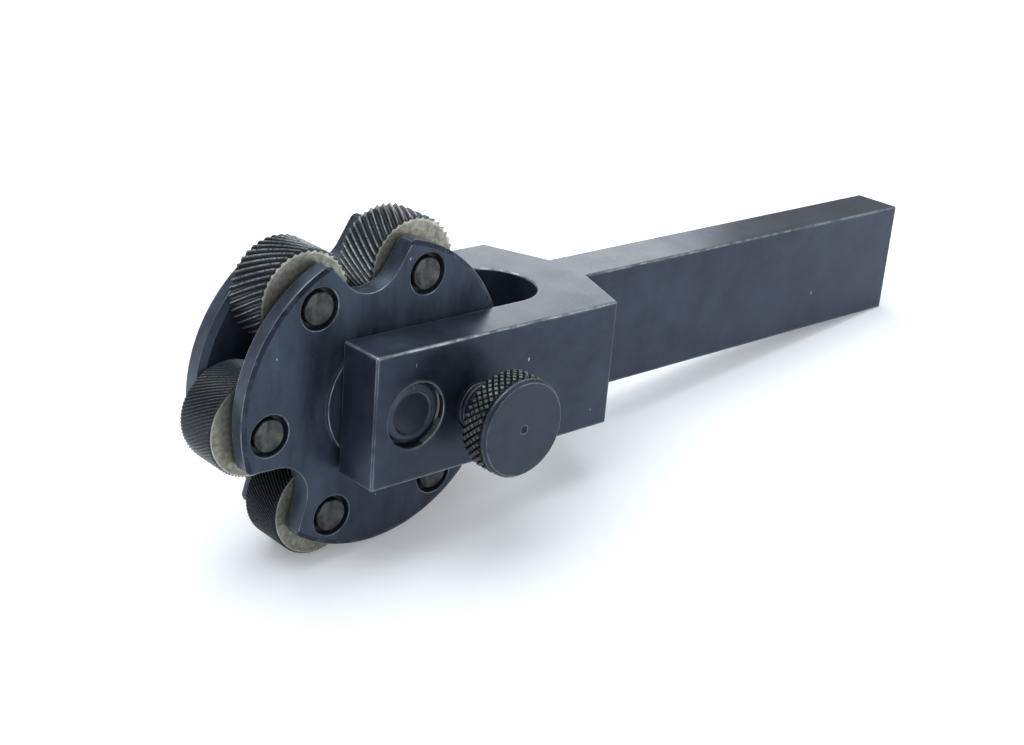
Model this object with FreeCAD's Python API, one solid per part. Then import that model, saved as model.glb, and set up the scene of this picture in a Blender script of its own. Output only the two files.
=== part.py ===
import FreeCAD, Part
import math
import os

from FreeCAD import Vector

# A lathe knurling tool: a forged shank with a fork, and in the fork a revolving head
# that carries three pairs of knurls, each pair a coarser or finer pitch than the next.
# Millimetres. +X runs to the rear of the shank, +Z is up, -Y is the lock screw's side.
# The origin is the middle of the shank's bottom face, which seats in the tool post.

# Shank
SHANK_LENGTH = 103.5
SHANK_HEIGHT = 25.4
SHANK_THICKNESS = 11.1
SHANK_END_CHAMFER = 1.2
EDGE_BREAK = 0.3

# Fork
ARM_THICKNESS = 9.8
ARM_AHEAD_OF_PIVOT = 9.2
FORK_WEB = 6.4
SHOULDER_LENGTH = 5.4
SLOT_END_CLEARANCE = 8.925
HEAD_SIDE_CLEARANCE = 0.05

# Revolving head
CARRIER_RADIUS = 29.15
CHEEK_THICKNESS = 4.0
CHEEK_OUTER_BEVEL_WIDTH = 0.9
CHEEK_OUTER_BEVEL_DEPTH = 0.35
CHEEK_INNER_BEVEL_WIDTH = 1.25
CHEEK_INNER_BEVEL_DEPTH = 0.85
HUB_HEIGHT = 0.8
HUB_INSIDE_CORE = 1.6
PIN_CIRCLE_INSET = 5.55
CORE_CLEARANCE = 0.65
HEAD_TURN = 36.0

# Notches between the two knurls of each pair
NOTCH_DEPTH = 8.9
NOTCH_RADIUS = 6.8
NOTCH_FLANK_ANGLE = 38.0
HORN_FLAT = 0.5

# Knurls
KNURL_DIAMETER = 19.05
KNURL_WIDTH = 9.5
KNURL_SIDE_CLEARANCE = 0.4
HELIX_ANGLE = 30.0
TOOTH_ANGLE = 90.0
TOOTH_SHARPNESS = 0.85
HELIX_STRETCHES = 2
COARSE_PITCH = 1.45
MEDIUM_PITCH = 1.1
FINE_PITCH = 0.85

# Knurl pins
KNURL_PIN_DIAMETER = 7.9375
KNURL_PIN_RECESS = 0.3
RUNNING_CLEARANCE = 0.05

# Pivot pin
PIVOT_DIAMETER = 11.1125
PIVOT_RECESS = 1.0
PIVOT_MOUTH_RADIUS = 6.28
PIVOT_MOUTH_DEPTH = 2.0

# Lock screw
LOCK_BEHIND_PIVOT = 14.5
LOCK_BELOW_PIVOT = 1.3
LOCK_DIAMETER = 9.525
LOCK_CLEARANCE = 0.05
LOCK_TIP_RADIUS = 2.4
LOCK_TIP_LENGTH = 2.2
LOCK_TIP_GAP = 0.3

# Knob on the lock screw
KNOB_RADIUS = 9.45
KNOB_WIDTH = 6.3
KNOB_STANDOFF = 6.3
KNOB_FACE_CHAMFER = 0.7
KNOB_FACE_THICKNESS = 2.0
KNOB_SEAT_CLEARANCE = 0.04

# Sizes that follow from the ones above
GROOVE_HALF = KNURL_WIDTH / 2 + KNURL_SIDE_CLEARANCE
CARRIER_HALF = GROOVE_HALF + CHEEK_THICKNESS
HUB_HALF = CARRIER_HALF + HUB_HEIGHT
SLOT_HALF = HUB_HALF + HEAD_SIDE_CLEARANCE
FORK_HALF = SLOT_HALF + ARM_THICKNESS
PIN_CIRCLE_RADIUS = CARRIER_RADIUS - PIN_CIRCLE_INSET
CORE_RADIUS = PIN_CIRCLE_RADIUS - KNURL_DIAMETER / 2 - CORE_CLEARANCE
HUB_RADIUS = CORE_RADIUS - HUB_INSIDE_CORE
HEAD_SWING = max(PIN_CIRCLE_RADIUS + KNURL_DIAMETER / 2, CARRIER_RADIUS)
SLOT_REACH = HEAD_SWING + SLOT_END_CLEARANCE
FORK_REAR = SLOT_REACH + FORK_WEB
PIVOT_X = -SHANK_LENGTH / 2 - SHOULDER_LENGTH - FORK_REAR
PIVOT_Z = SHANK_HEIGHT / 2
LOCK_X = PIVOT_X + LOCK_BEHIND_PIVOT
LOCK_Z = PIVOT_Z - LOCK_BELOW_PIVOT
LOCK_RADIUS = LOCK_DIAMETER / 2
KNOB_BACK_Y = -FORK_HALF - KNOB_STANDOFF
KNOB_FRONT_Y = KNOB_BACK_Y - KNOB_WIDTH
STUD_END_Y = KNOB_FRONT_Y + KNOB_FACE_THICKNESS
STUD_TIP_Y = -CARRIER_HALF - LOCK_TIP_GAP
PAIRS = (
    ("coarse", COARSE_PITCH, ("right", "left")),
    ("fine", FINE_PITCH, ("left", "right")),
    ("medium", MEDIUM_PITCH, ("right", "left")),
)
PAIR_SPACING = 360.0 / len(PAIRS)
KNURL_ANGLE = PAIR_SPACING / 4
TWIST_SIGN = {"left": 1, "right": -1}


def turned(profile, x, z):
    """A solid of revolution about the cross-wise axis through x, z.

    The profile is a list of (radius, y) corners.
    """
    corners = [Vector(x + radius, y, z) for radius, y in profile]
    face = Part.Face(Part.makePolygon(corners + corners[:1]))
    return face.revolve(Vector(x, 0, z), Vector(0, 1, 0), 360)


def cross_rod(radius, y_from, y_to, x, z):
    """A cylinder along Y, a plain pin or the space that a drill clears."""
    return Part.makeCylinder(radius, y_to - y_from, Vector(x, y_from, z), Vector(0, 1, 0))


def on_head(radius, angle, y=0.0):
    """A point of the head by its radius from the pivot and its angle from +X towards +Z."""
    turn = math.radians(angle)
    return Vector(PIVOT_X + radius * math.cos(turn), y, PIVOT_Z + radius * math.sin(turn))


def notch_angles():
    """The directions of the notches; the second faces the work when the head is indexed."""
    return [180 + HEAD_TURN + (pair - 1) * PAIR_SPACING for pair in range(len(PAIRS))]


def knurl_places():
    """Yields each knurl's grade, pitch, hand and angle round the head."""
    for notch, (grade, pitch, hands) in zip(notch_angles(), PAIRS):
        yield grade, pitch, hands[0], notch - KNURL_ANGLE
        yield grade, pitch, hands[1], notch + KNURL_ANGLE


def holder_outline():
    """The holder's plan: shank, sloping shoulders and the parallel sides of the fork."""
    fork_front = PIVOT_X - ARM_AHEAD_OF_PIVOT
    fork_rear = PIVOT_X + FORK_REAR
    half_shank = SHANK_THICKNESS / 2
    near_side = [
        Vector(fork_front, -FORK_HALF, 0),
        Vector(fork_rear, -FORK_HALF, 0),
        Vector(-SHANK_LENGTH / 2, -half_shank, 0),
        Vector(SHANK_LENGTH / 2, -half_shank, 0),
    ]
    far_side = [Vector(corner.x, -corner.y, 0) for corner in reversed(near_side)]
    corners = near_side + far_side
    return Part.Face(Part.makePolygon(corners + corners[:1]))


def fork_slot():
    """The slot for the head, open at the front and full-round at its rear."""
    front = PIVOT_X - ARM_AHEAD_OF_PIVOT - 1
    round_centre = PIVOT_X + SLOT_REACH - SLOT_HALF
    channel = Part.makeBox(
        round_centre - front, 2 * SLOT_HALF, SHANK_HEIGHT + 2, Vector(front, -SLOT_HALF, -1)
    )
    rounded = Part.makeCylinder(SLOT_HALF, SHANK_HEIGHT + 2, Vector(round_centre, 0, -1))
    return channel.fuse(rounded)


def lies_at(edge, axis, value):
    """True for an edge that lies wholly in the plane where x, y or z has the value."""
    return all(abs(getattr(vertex.Point, axis) - value) < 1e-6 for vertex in edge.Vertexes)


def sharp_edges(body):
    """The top and bottom outlines short of the shank's end, and the fork's upright corners."""
    outlines = [edge for height in (0, SHANK_HEIGHT) for edge in body.Edges if lies_at(edge, "z", height)]
    corners = [
        edge
        for x in (PIVOT_X - ARM_AHEAD_OF_PIVOT, PIVOT_X + FORK_REAR)
        for edge in body.Edges
        if lies_at(edge, "x", x) and not lies_at(edge, "z", edge.Vertexes[0].Z)
    ]
    ahead_of_end = SHANK_LENGTH / 2 - 2 * SHANK_END_CHAMFER
    return [edge for edge in outlines if edge.BoundBox.XMin < ahead_of_end] + corners


def holder():
    """Shank and fork in one piece, bored for the pivot pin and the lock screw."""
    body = holder_outline().extrude(Vector(0, 0, SHANK_HEIGHT))
    rear_edges = [edge for edge in body.Edges if lies_at(edge, "x", SHANK_LENGTH / 2)]
    body = body.makeChamfer(SHANK_END_CHAMFER, rear_edges)
    body = body.cut(fork_slot())
    body = body.makeChamfer(EDGE_BREAK, sharp_edges(body))
    body = body.cut(cross_rod(PIVOT_DIAMETER / 2, -FORK_HALF - 1, FORK_HALF + 1, PIVOT_X, PIVOT_Z))
    mouth_floor = FORK_HALF - PIVOT_MOUTH_DEPTH
    body = body.cut(cross_rod(PIVOT_MOUTH_RADIUS, -FORK_HALF - 1, -mouth_floor, PIVOT_X, PIVOT_Z))
    body = body.cut(cross_rod(PIVOT_MOUTH_RADIUS, mouth_floor, FORK_HALF + 1, PIVOT_X, PIVOT_Z))
    return body.cut(cross_rod(LOCK_RADIUS + LOCK_CLEARANCE, -FORK_HALF - 1, -SLOT_HALF + 1, LOCK_X, LOCK_Z))


def notch_space(angle):
    """The space that a notch's cutter clears: a round floor and straight flanks that open outwards."""
    floor = CARRIER_RADIUS - NOTCH_DEPTH
    lean = math.radians(NOTCH_FLANK_ANGLE)
    flank_foot = floor + NOTCH_RADIUS * (1 - math.sin(lean))
    foot_across = NOTCH_RADIUS * math.cos(lean)
    flank_top = flank_foot + 2 * NOTCH_DEPTH
    top_across = foot_across + 2 * NOTCH_DEPTH * math.tan(lean)
    outward = on_head(1, angle) - on_head(0, angle)
    across = Vector(outward.z, 0, -outward.x)
    start = on_head(0, angle, -HUB_HALF - 1)
    feet = [start + outward * flank_foot + across * side * foot_across for side in (-1, 1)]
    tops = [start + outward * flank_top + across * side * top_across for side in (1, -1)]
    round_floor = Part.Arc(feet[0], start + outward * floor, feet[1]).toShape()
    flanks = Part.makePolygon([feet[1], tops[0], tops[1], feet[0]])
    outline = Part.Wire([round_floor] + flanks.Edges)
    return Part.Face(outline).extrude(Vector(0, 2 * HUB_HALF + 2, 0))


def head_plan():
    """The carrier's side view as a thick plate: a disc with its notches and blunted horns."""
    plate = cross_rod(CARRIER_RADIUS, -HUB_HALF, HUB_HALF, PIVOT_X, PIVOT_Z)
    for angle in notch_angles():
        plate = plate.cut(notch_space(angle))
    horns = [edge for edge in plate.Edges if is_horn(edge)]
    return plate.makeChamfer(HORN_FLAT, horns)


def is_horn(edge):
    """True for the cross-wise edges where a notch's flank meets the rim."""
    ends = [vertex.Point - on_head(0, 0, vertex.Point.y) for vertex in edge.Vertexes]
    if len(ends) < 2 or (ends[0] - ends[1]).Length > 1e-6 or abs(ends[0].Length - CARRIER_RADIUS) > 1e-6:
        return False
    bearing = math.degrees(math.atan2(ends[0].z, ends[0].x))
    return any(abs((bearing - angle + 180) % 360 - 180) < PAIR_SPACING / 3 for angle in notch_angles())


def carrier():
    """The head: two cheeks and a core turned from one bar, notched and drilled."""
    bore = PIVOT_DIAMETER / 2 + RUNNING_CLEARANCE
    half_profile = [
        (bore, HUB_HALF),
        (HUB_RADIUS, HUB_HALF),
        (HUB_RADIUS, CARRIER_HALF),
        (CARRIER_RADIUS - CHEEK_OUTER_BEVEL_WIDTH, CARRIER_HALF),
        (CARRIER_RADIUS, CARRIER_HALF - CHEEK_OUTER_BEVEL_DEPTH),
        (CARRIER_RADIUS, GROOVE_HALF + CHEEK_INNER_BEVEL_DEPTH),
        (CARRIER_RADIUS - CHEEK_INNER_BEVEL_WIDTH, GROOVE_HALF),
        (CORE_RADIUS, GROOVE_HALF),
    ]
    mirrored = [(radius, -y) for radius, y in reversed(half_profile)]
    body = turned(half_profile + mirrored, PIVOT_X, PIVOT_Z).common(head_plan())
    for _, _, _, angle in knurl_places():
        place = on_head(PIN_CIRCLE_RADIUS, angle)
        body = body.cut(cross_rod(KNURL_PIN_DIAMETER / 2, -HUB_HALF, HUB_HALF, place.x, place.z))
    return body


def tooth_line(place, radius, turn, twist):
    """The points of one crest or root line, which winds round the knurl as a helix."""
    points = []
    for step in range(HELIX_STRETCHES + 1):
        share = step / HELIX_STRETCHES
        angle = turn + twist * (share - 0.5)
        across = Vector(radius * math.cos(angle), 0, radius * math.sin(angle))
        points.append(place + across + Vector(0, KNURL_WIDTH * (share - 0.5), 0))
    return points


def knurl(place, pitch, twist_sign):
    """A hardened wheel with V teeth cut on a helix, in straight stretches along each tooth.

    Each stretch of a flank is split into two triangles along the diagonal that suits the hand,
    so that left and right wheels mirror each other.
    """
    radius = KNURL_DIAMETER / 2
    teeth = round(math.pi * KNURL_DIAMETER / pitch)
    full_depth = math.pi * radius / teeth / math.tan(math.radians(TOOTH_ANGLE / 2))
    root = radius - full_depth * TOOTH_SHARPNESS
    twist = twist_sign * KNURL_WIDTH * math.tan(math.radians(HELIX_ANGLE)) / radius
    lines = []
    for flank in range(2 * teeth):
        reach = root if flank % 2 else radius
        lines.append(tooth_line(place, reach, flank * math.pi / teeth, twist))
    faces = []
    for before, after in zip(lines, lines[1:] + lines[:1]):
        for step in range(HELIX_STRETCHES):
            corners = [before[step], before[step + 1], after[step + 1], after[step]]
            if twist_sign > 0:
                corners = corners[1:] + corners[:1]
            first, second, third, fourth = corners
            faces.append(Part.Face(Part.makePolygon([first, second, third, first])))
            faces.append(Part.Face(Part.makePolygon([third, fourth, first, third])))
    for end in (0, HELIX_STRETCHES):
        rim = [line[end] for line in lines]
        faces.append(Part.Face(Part.makePolygon(rim + rim[:1])))
    shell = Part.makeShell(faces)
    shell.sewShape()
    blank = Part.makeSolid(shell)
    if blank.Volume < 0:
        blank.reverse()
    bore = KNURL_PIN_DIAMETER / 2 + RUNNING_CLEARANCE
    wheel = blank.cut(cross_rod(bore, -KNURL_WIDTH, KNURL_WIDTH, place.x, place.z))
    return wheel.Solids[0]


def knurl_pin(place):
    """A pin pressed into both cheeks, its ends a little below their faces."""
    half_length = CARRIER_HALF - KNURL_PIN_RECESS
    return cross_rod(KNURL_PIN_DIAMETER / 2, -half_length, half_length, place.x, place.z)


def pivot_pin():
    """The pin that the head turns on, pressed into both arms of the fork."""
    half_length = FORK_HALF - PIVOT_RECESS
    return cross_rod(PIVOT_DIAMETER / 2, -half_length, half_length, PIVOT_X, PIVOT_Z)


def lock_stud():
    """The lock screw's threaded stud, with a turned-down tip that bears on the cheek."""
    shoulder = STUD_TIP_Y - LOCK_TIP_LENGTH
    profile = [
        (0, STUD_TIP_Y),
        (LOCK_TIP_RADIUS, STUD_TIP_Y),
        (LOCK_TIP_RADIUS, shoulder),
        (LOCK_RADIUS, shoulder),
        (LOCK_RADIUS, STUD_END_Y),
        (0, STUD_END_Y),
    ]
    return turned(profile, LOCK_X, LOCK_Z)


def lock_knob():
    """The round knob on the stud's outer end."""
    seat_radius = LOCK_RADIUS + KNOB_SEAT_CLEARANCE
    seat_floor = STUD_END_Y - KNOB_SEAT_CLEARANCE
    profile = [
        (seat_radius, KNOB_BACK_Y),
        (KNOB_RADIUS, KNOB_BACK_Y),
        (KNOB_RADIUS, KNOB_FRONT_Y + KNOB_FACE_CHAMFER),
        (KNOB_RADIUS - KNOB_FACE_CHAMFER, KNOB_FRONT_Y),
        (0, KNOB_FRONT_Y),
        (0, seat_floor),
        (seat_radius, seat_floor),
    ]
    return turned(profile, LOCK_X, LOCK_Z)


def sub_parts():
    """Yields every piece with its name."""
    yield "holder", holder()
    yield "knurl_carrier", carrier()
    yield "pivot_pin", pivot_pin()
    yield "lock_stud", lock_stud()
    yield "lock_knob", lock_knob()
    for grade, pitch, hand, angle in knurl_places():
        place = on_head(PIN_CIRCLE_RADIUS, angle)
        yield f"{grade}_{hand}_knurl", knurl(place, pitch, TWIST_SIGN[hand])
        yield f"{grade}_{hand}_knurl_pin", knurl_pin(place)


os.makedirs("parts", exist_ok=True)
for part_name, part_shape in sub_parts():
    part_shape.exportStep(f"parts/{part_name}.step")
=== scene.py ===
import logging
import math
from collections.abc import Callable
from dataclasses import dataclass, field
from enum import Enum

import bmesh
import bpy
from mathutils import Matrix, Vector, noise


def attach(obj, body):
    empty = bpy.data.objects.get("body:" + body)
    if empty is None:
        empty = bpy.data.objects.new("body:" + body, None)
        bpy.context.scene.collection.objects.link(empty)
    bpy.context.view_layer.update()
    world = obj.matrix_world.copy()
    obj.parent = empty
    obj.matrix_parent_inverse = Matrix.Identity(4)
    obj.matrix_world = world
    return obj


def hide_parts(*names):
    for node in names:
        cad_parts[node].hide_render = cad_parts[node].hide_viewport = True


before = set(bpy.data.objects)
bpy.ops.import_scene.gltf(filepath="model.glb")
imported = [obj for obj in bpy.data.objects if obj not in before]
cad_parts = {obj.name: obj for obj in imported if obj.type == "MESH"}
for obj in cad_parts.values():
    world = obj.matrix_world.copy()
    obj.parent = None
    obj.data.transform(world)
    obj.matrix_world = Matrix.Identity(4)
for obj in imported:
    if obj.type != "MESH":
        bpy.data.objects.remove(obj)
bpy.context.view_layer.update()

# A lathe knurling tool: a blued steel shank and fork, a revolving head with three pairs
# of hardened knurls on pins, and a lock screw with a diamond-knurled knob.
# Sizes are in millimetres and become metres as each mesh is finished. The frame is the
# CAD's: +X to the rear of the shank, +Z up, -Y on the lock screw's side.

Tree = bpy.types.NodeTree
Socket = bpy.types.NodeSocket
Shape = bmesh.types.BMesh
Edge = bmesh.types.BMEdge

MM = 0.001
LOG = logging.getLogger("knurling_tool")

PIVOT_X = -105.6
PIVOT_Z = 12.7
PIN_CIRCLE_RADIUS = 23.6
LOCK_X = PIVOT_X + 14.5
LOCK_Z = PIVOT_Z - 1.3


class Hand(Enum):
    """Which way a knurl's teeth wind; the value is the sign of the twist towards +Y."""

    LEFT = 1
    RIGHT = -1


class Grade(Enum):
    """The coarseness of a pair of knurls; the value is the number of teeth on a wheel."""

    COARSE = 41
    MEDIUM = 54
    FINE = 82


# The finer the teeth, the more of them the scale of hardening still darkens.
TOOTH_COLOURS = {
    Grade.COARSE: ("24292F", "8C9298"),
    Grade.MEDIUM: ("24292F", "777D83"),
    Grade.FINE: ("2B3036", "5E646A"),
}


def to_linear(hex_colour: str) -> tuple[float, float, float, float]:
    """Turns an sRGB hex colour into the linear colour that a shader takes.

    Args:
        hex_colour: Six hex digits, without a hash.

    Returns:
        Linear red, green, blue and an alpha of 1.
    """
    channels = [int(hex_colour[i : i + 2], 16) / 255 for i in (0, 2, 4)]
    red, green, blue = (c / 12.92 if c <= 0.04045 else ((c + 0.055) / 1.055) ** 2.4 for c in channels)
    return red, green, blue, 1.0


def fill_inputs(node: bpy.types.Node, sockets: dict[str | int, object]) -> None:
    """Links a node's inputs to the output sockets given, and sets the rest to the values given.

    Args:
        node: The node.
        sockets: Values, or output sockets to link from, by input name or index.
    """
    for key, value in sockets.items():
        if isinstance(value, Socket):
            node.id_data.links.new(value, node.inputs[key])
        else:
            node.inputs[key].default_value = value


def node_out(
    tree: Tree,
    kind: str,
    sockets: dict[str | int, object] | None = None,
    out: str | int = 0,
    **settings: object,
) -> Socket | None:
    """Adds a node, applies its settings, and fills or links its input sockets.

    Args:
        tree: The node tree that takes the node.
        kind: The node's Blender type name, without its common beginning.
        sockets: Values, or output sockets to link from, by input name or index.
        out: The name or index of the output to give back.
        settings: Attributes of the node by name.

    Returns:
        The node's output socket, or nothing for a node that has none.
    """
    node = tree.nodes.new("ShaderNode" + kind)
    for name, value in settings.items():
        setattr(node, name, value)
    fill_inputs(node, sockets or {})
    return node.outputs[out] if node.outputs else None


def start_material(name: str, centre: tuple[float, float, float]) -> tuple[bpy.types.Material, Socket]:
    """Starts a material whose patterns are laid out from the middle of its piece.

    Args:
        name: The material's name.
        centre: The middle of the piece, in millimetres.

    Returns:
        The material, and Object coordinates from the piece's centre.
    """
    material = bpy.data.materials.new(name)
    material.use_nodes = True
    place = node_out(material.node_tree, "TexCoord", out="Object")
    away = [-value * MM for value in centre]
    centred = node_out(material.node_tree, "Mapping", {"Vector": place, "Location": away})
    return material, centred


def scale_of(size_mm: float) -> float:
    """Gives a texture's scale, in patterns per metre, for a feature of this size."""
    return 1.0 / (size_mm * MM)


class Grain(Enum):
    """How a blued surface was machined before it was blued."""

    GROUND_LENGTHWISE = "ground lengthwise"
    TURNED = "turned about a cross-wise axis"


# Bands of this kind lay the painted glint in the pivot's bore and the painted shade on the carrier's bevel.
@dataclass(frozen=True)
class Ring:
    """A narrow band round a cross-wise axis, where a finish differs from the rest."""

    x: float
    z: float
    radius: float
    half_width: float
    across: float
    half_across: float
    patch_size: float = 2.5

    def mask(self, tree: Tree) -> Socket:
        """Finds the band on the surface, on both sides of the tool, broken up into patches.

        Args:
            tree: The material's node tree.

        Returns:
            A socket that is 1 on the band's patches and 0 elsewhere.
        """
        place = node_out(tree, "TexCoord", out="Object")
        from_axis = node_out(
            tree, "Mapping", {"Vector": place, "Location": (-self.x * MM, 0.0, -self.z * MM)}
        )
        flat = node_out(tree, "VectorMath", {0: from_axis, 1: (1.0, 0.0, 1.0)}, operation="MULTIPLY")
        reach = node_out(tree, "VectorMath", {0: flat}, out="Value", operation="LENGTH")
        height = node_out(tree, "SeparateXYZ", {"Vector": from_axis}, out="Y")
        away = node_out(tree, "Math", {0: height}, operation="ABSOLUTE")
        on_circle = node_out(
            tree, "Math", {0: reach, 1: self.radius * MM, 2: self.half_width * MM}, operation="COMPARE"
        )
        at_side = node_out(
            tree, "Math", {0: away, 1: self.across * MM, 2: self.half_across * MM}, operation="COMPARE"
        )
        band = node_out(tree, "Math", {0: on_circle, 1: at_side}, operation="MULTIPLY")
        patches = node_out(
            tree, "TexNoise", {"Vector": place, "Scale": scale_of(self.patch_size), "Detail": 4.0}
        )
        broken = node_out(tree, "MapRange", {"Value": patches, "From Min": 0.36, "From Max": 0.5})
        return node_out(tree, "Math", {0: band, 1: broken}, operation="MULTIPLY")


@dataclass(frozen=True)
class BluedSteel:
    """Black oxide on machined steel.

    The eye sees a dark blue-grey satin that goes pale where it is seen at a grazing angle,
    faint machining lines, and bright steel where handling has worn the edges through; a painted
    highlight runs along the edges and their chamfers too, and optional rings add a painted glint
    and a painted shade band.
    """

    name: str
    centre: tuple[float, float, float]
    grain: Grain
    dark: str = "181D27"
    light: str = "2E3542"
    # Bright steel of the worn edges, also the colour of the painted edge highlight.
    worn_and_highlight: str = "A9AFB3"
    sheen: str = "BFD5FB"
    # The painted glint on the lit side of the pivot's bore, where the steel is also rubbed bare.
    brightened: str = "C9C0A4"
    # A near-black band of painted shade on the carrier's bevel.
    bevel_shade: str = "0C0F14"
    roughness: float = 0.36
    line_spacing: float = 0.5
    line_depth: float = 0.004
    pit_size: float = 1.1
    edge_width: float = 0.3
    # The width and strength of the soft painted highlight beside the edges.
    highlight_width: float = 1.1
    edge_highlight: float = 0.4
    nick_spacing: float = 4.2
    nick_size: float = 0.24
    cloud_size: float = 9.0
    streak: float = 1.0
    edge_rounding: float = 0.5
    speckle_size: float = 0.7
    chip_size: float = 2.4
    # The size of the stretches that the soft painted highlight is broken into.
    highlight_stretch: float = 11.0
    jag_size: float = 0.5
    jag_reach: float = 0.3
    pit_depth: float = 0.06
    open_within: float = 0.8
    # Fills the chamfers with the painted edge highlight.
    chamfered: bool = False
    # Optional rings: a painted glint in a bore, and a band of painted shade on a bevel.
    bore_glint: Ring | None = None
    shaded_bevel: Ring | None = None

    def material(self) -> bpy.types.Material:
        """Builds the node material.

        Returns:
            The finished material.
        """
        material, centred = start_material(self.name, self.centre)
        tree = material.node_tree
        streaked = node_out(tree, "Mapping", {"Vector": centred, "Scale": (1.0, 1.0, self.streak)})
        cloud = node_out(
            tree,
            "TexNoise",
            {"Vector": streaked, "Scale": scale_of(self.cloud_size), "Detail": 6.0, "Roughness": 0.6},
        )
        speckle = node_out(
            tree, "TexNoise", {"Vector": centred, "Scale": scale_of(self.speckle_size), "Detail": 3.0}
        )
        mottle = node_out(tree, "Math", {0: speckle, 1: 0.3, 2: -0.14}, operation="MULTIPLY_ADD")
        spread = node_out(tree, "MapRange", {"Value": cloud, "From Min": 0.36, "From Max": 0.66}, clamp=False)
        tone = node_out(tree, "Math", {0: spread, 1: mottle}, operation="ADD", use_clamp=True)
        blued = node_out(
            tree,
            "Mix",
            {"Factor": tone, 6: to_linear(self.dark), 7: to_linear(self.light)},
            out=2,
            data_type="RGBA",
        )
        # Worn steel and the painted edge highlight, with the nicks.
        wear_and_highlight = node_out(
            tree,
            "Math",
            {0: self.edge_wear_and_highlight(tree, centred), 1: self.nicks(tree, centred)},
            operation="MAXIMUM",
        )
        colour = node_out(
            tree, "Mix", {"Factor": wear_and_highlight, 6: blued, 7: to_linear(self.worn_and_highlight)}, out=2, data_type="RGBA"
        )
        # Lays the painted glint ring and the painted shade ring over the bluing.
        for ring, seen_as in ((self.bore_glint, self.brightened), (self.shaded_bevel, self.bevel_shade)):
            if ring:
                band = ring.mask(tree)
                colour = node_out(
                    tree, "Mix", {"Factor": band, 6: colour, 7: to_linear(seen_as)}, out=2, data_type="RGBA"
                )
        smear = node_out(tree, "Math", {0: cloud, 1: 0.75, 2: mottle}, operation="MULTIPLY_ADD")
        gloss = node_out(
            tree,
            "MapRange",
            {
                "Value": smear,
                "From Min": 0.2,
                "From Max": 0.62,
                "To Min": self.roughness - 0.09,
                "To Max": self.roughness + 0.1,
            },
        )
        metal = node_out(tree, "MapRange", {"Value": wear_and_highlight, "To Min": 0.0, "To Max": 0.9})
        surface = {
            "Base Color": colour,
            "Roughness": gloss,
            "Metallic": metal,
            "Normal": self.relief(tree, centred),
            "Specular Tint": to_linear(self.sheen),
        }
        fill_inputs(tree.nodes["Principled BSDF"], surface)
        return material

    def edge_wear_and_highlight(self, tree: Tree, centred: Socket) -> Socket:
        """Finds the sharp edges, broken up as handling wears them.

        Args:
            tree: The material's node tree.
            centred: Object coordinates from the piece's centre.

        Returns:
            A socket that is 1 on bright, worn steel and on the painted edge highlight, and 0 on whole bluing.
        """
        chips = node_out(
            tree,
            "TexNoise",
            {"Vector": centred, "Scale": scale_of(self.chip_size), "Detail": 7.0, "Roughness": 0.62},
        )
        stretches = node_out(
            tree, "TexNoise", {"Vector": centred, "Scale": scale_of(self.highlight_stretch), "Detail": 3.0}
        )
        highlight_patches = node_out(tree, "MapRange", {"Value": stretches, "From Min": 0.38, "From Max": 0.62})
        # The floor of 0.22 gives every edge a faint painted highlight between the worn chips.
        chipped = node_out(
            tree, "MapRange", {"Value": chips, "From Min": 0.4, "From Max": 0.68, "To Min": 0.22}
        )
        edge = self.near_edge(tree, self.edge_width)
        # Filled chamfers paint one broad highlight along the edges that they break.
        if self.chamfered:
            chamfers = self.chamfer_faces(tree)
            edge = node_out(tree, "Math", {0: edge, 1: chamfers}, operation="MAXIMUM")
        core = node_out(tree, "Math", {0: edge, 1: chipped}, operation="MULTIPLY")
        # A soft painted highlight beside the edges, broken into stretches.
        soft = node_out(
            tree, "Math", {0: self.near_edge(tree, self.highlight_width), 1: highlight_patches}, operation="MULTIPLY"
        )
        both = node_out(
            tree, "Math", {0: soft, 1: self.edge_highlight, 2: core}, operation="MULTIPLY_ADD", use_clamp=True
        )
        open_to_air = node_out(
            tree,
            "AmbientOcclusion",
            {"Distance": self.open_within * MM},
            out="AO",
            samples=4,
            only_local=True,
        )
        raised = node_out(tree, "MapRange", {"Value": open_to_air, "From Min": 0.8, "From Max": 0.97})
        return node_out(tree, "Math", {0: both, 1: raised}, operation="MULTIPLY")

    def near_edge(self, tree: Tree, reach: float) -> Socket:
        """Finds how near an edge is, by how far a rounding of it would turn the surface.

        Args:
            tree: The material's node tree.
            reach: The rounding's radius in millimetres.

        Returns:
            A socket that rises from 0 on a flat to 1 at a square edge.
        """
        facing = node_out(tree, "NewGeometry", out="Normal")
        rounded = node_out(tree, "Bevel", {"Radius": reach * MM}, samples=6)
        agreement = node_out(
            tree, "VectorMath", {0: facing, 1: rounded}, out="Value", operation="DOT_PRODUCT"
        )
        return node_out(
            tree,
            "MapRange",
            {"Value": agreement, "From Min": 0.995, "From Max": 0.86},
            interpolation_type="SMOOTHSTEP",
        )

    def chamfer_faces(self, tree: Tree) -> Socket:
        """Finds the small chamfers, which alone lean between upright and level.

        Args:
            tree: The material's node tree.

        Returns:
            A socket that is 1 on a chamfer.
        """
        facing = node_out(tree, "NewGeometry", out="True Normal")
        upward = node_out(tree, "SeparateXYZ", {"Vector": facing}, out="Z")
        lean = node_out(tree, "Math", {0: upward}, operation="ABSOLUTE")
        return node_out(tree, "Math", {0: lean, 1: 0.65, 2: 0.3}, operation="COMPARE")

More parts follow.
